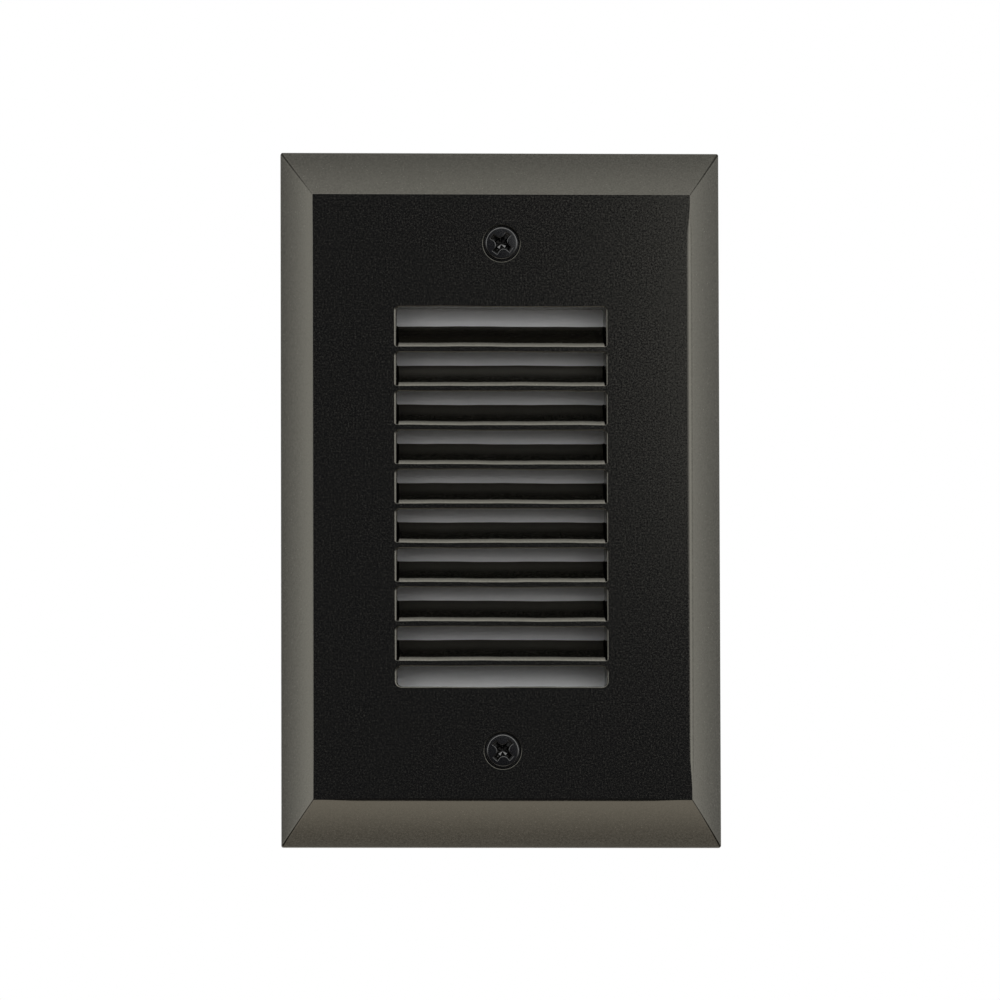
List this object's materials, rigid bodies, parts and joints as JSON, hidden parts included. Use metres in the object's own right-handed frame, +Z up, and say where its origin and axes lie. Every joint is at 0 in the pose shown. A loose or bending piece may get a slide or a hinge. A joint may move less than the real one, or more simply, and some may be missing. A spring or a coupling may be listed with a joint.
{
  "type": "step light",
  "caption": "Recessed step light: a bevelled, louvred cast faceplate over a sealed tub with lens, LED board and driver, held to a wall box by face screws that back out.",
  "frame": {"origin": "centre of the gasket's back face, on the wall's surface", "axes": "+X to the right as one faces the light, +Y into the wall, +Z up"},
  "size_m": [0.072, 0.0377, 0.1142],
  "materials": {
    "cast_plate": "satin powder coat, near black on the flat face and olive grey where the bevels catch the light",
    "closed_cell_foam": "matt closed-cell foam",
    "black_screw": "black oxide, semi-gloss",
    "black_nylon": "nylon",
    "silicone": "soft silicone",
    "frosted_lens": "frosted polycarbonate, unlit",
    "cast_housing": "fine-textured black coat",
    "bright_screw": "bright zinc",
    "white_reflector": "white, semi-gloss",
    "led_board_white": "white solder mask on a metal core",
    "led_package": "white body with a yellow window",
    "thermal_pad_grey": "soft grey pad",
    "bare_aluminium": "mill finish",
    "insulator_paper": "fibre sheet",
    "red_lead": "insulated wire",
    "black_lead": "insulated wire",
    "green_board": "solder mask",
    "ferrite": "matt ferrite",
    "copper_winding": "enamelled copper",
    "capacitor_sleeve": "shrink sleeve",
    "film_box": "moulded box",
    "varistor_coat": "dipped coat",
    "resistor_body": "lacquered body",
    "chip_black": "moulded package",
    "ceramic_tan": "ceramic",
    "terminal_white": "moulded nylon",
    "black_rubber": "moulded rubber",
    "ground_green": "green zinc"
  },
  "bodies": {
    "light": {"faceplate": "cast_plate", "wall_gasket": "closed_cell_foam", "lens_gasket": "silicone", "lens": "frosted_lens", "housing_seal": "silicone", "rear_housing": "cast_housing", "housing_screws": "bright_screw", "reflector": "white_reflector", "led_board": "led_board_white", "led_packages": "led_package", "led_board_screws": "bright_screw", "thermal_pad": "thermal_pad_grey", "heat_sink_plate": "bare_aluminium", "insulator_sheet": "insulator_paper", "led_lead_positive": "red_lead", "led_lead_negative": "black_lead", "driver_board": "green_board", "driver_board_screws": "bright_screw", "inductor_core": "ferrite", "inductor_winding": "copper_winding", "bulk_capacitor": "capacitor_sleeve", "film_capacitor": "film_box", "varistor": "varistor_coat", "fusible_resistor": "resistor_body", "bridge_rectifier": "chip_black", "driver_ic": "chip_black", "smd_resistors": "chip_black", "smd_capacitors": "ceramic_tan", "input_terminal_block": "terminal_white", "cable_grommet": "black_rubber", "ground_washer": "bright_screw", "ground_screw": "ground_green"},
    "upper_screw_travel": {"face_screw_washer_upper": "black_nylon"},
    "upper_screw": {"face_screw_upper": "black_screw"},
    "lower_screw_travel": {"face_screw_washer_lower": "black_nylon"},
    "lower_screw": {"face_screw_lower": "black_screw"}
  },
  "joints": [
    {"name": "upper_screw_turn", "type": "hinge", "parent": "upper_screw_travel", "child": "upper_screw", "pos_m": [0, 0, 0.04167], "axis": [0, -1, 0], "range_deg": [0, 5000]},
    {"name": "upper_screw_slide", "type": "slide", "parent": "light", "child": "upper_screw_travel", "axis": [0, -1, 0], "range_m": [0, 0.01102]},
    {"name": "lower_screw_turn", "type": "hinge", "parent": "lower_screw_travel", "child": "lower_screw", "pos_m": [0, 0, -0.04167], "axis": [0, -1, 0], "range_deg": [0, 5000]},
    {"name": "lower_screw_slide", "type": "slide", "parent": "light", "child": "lower_screw_travel", "axis": [0, -1, 0], "range_m": [0, 0.01102]}
  ],
  "couplings": [
    {"joint": "upper_screw_turn", "follows": "upper_screw_slide", "rad_per_m": 7915.8},
    {"joint": "lower_screw_turn", "follows": "lower_screw_slide", "rad_per_m": 7915.8}
  ]
}
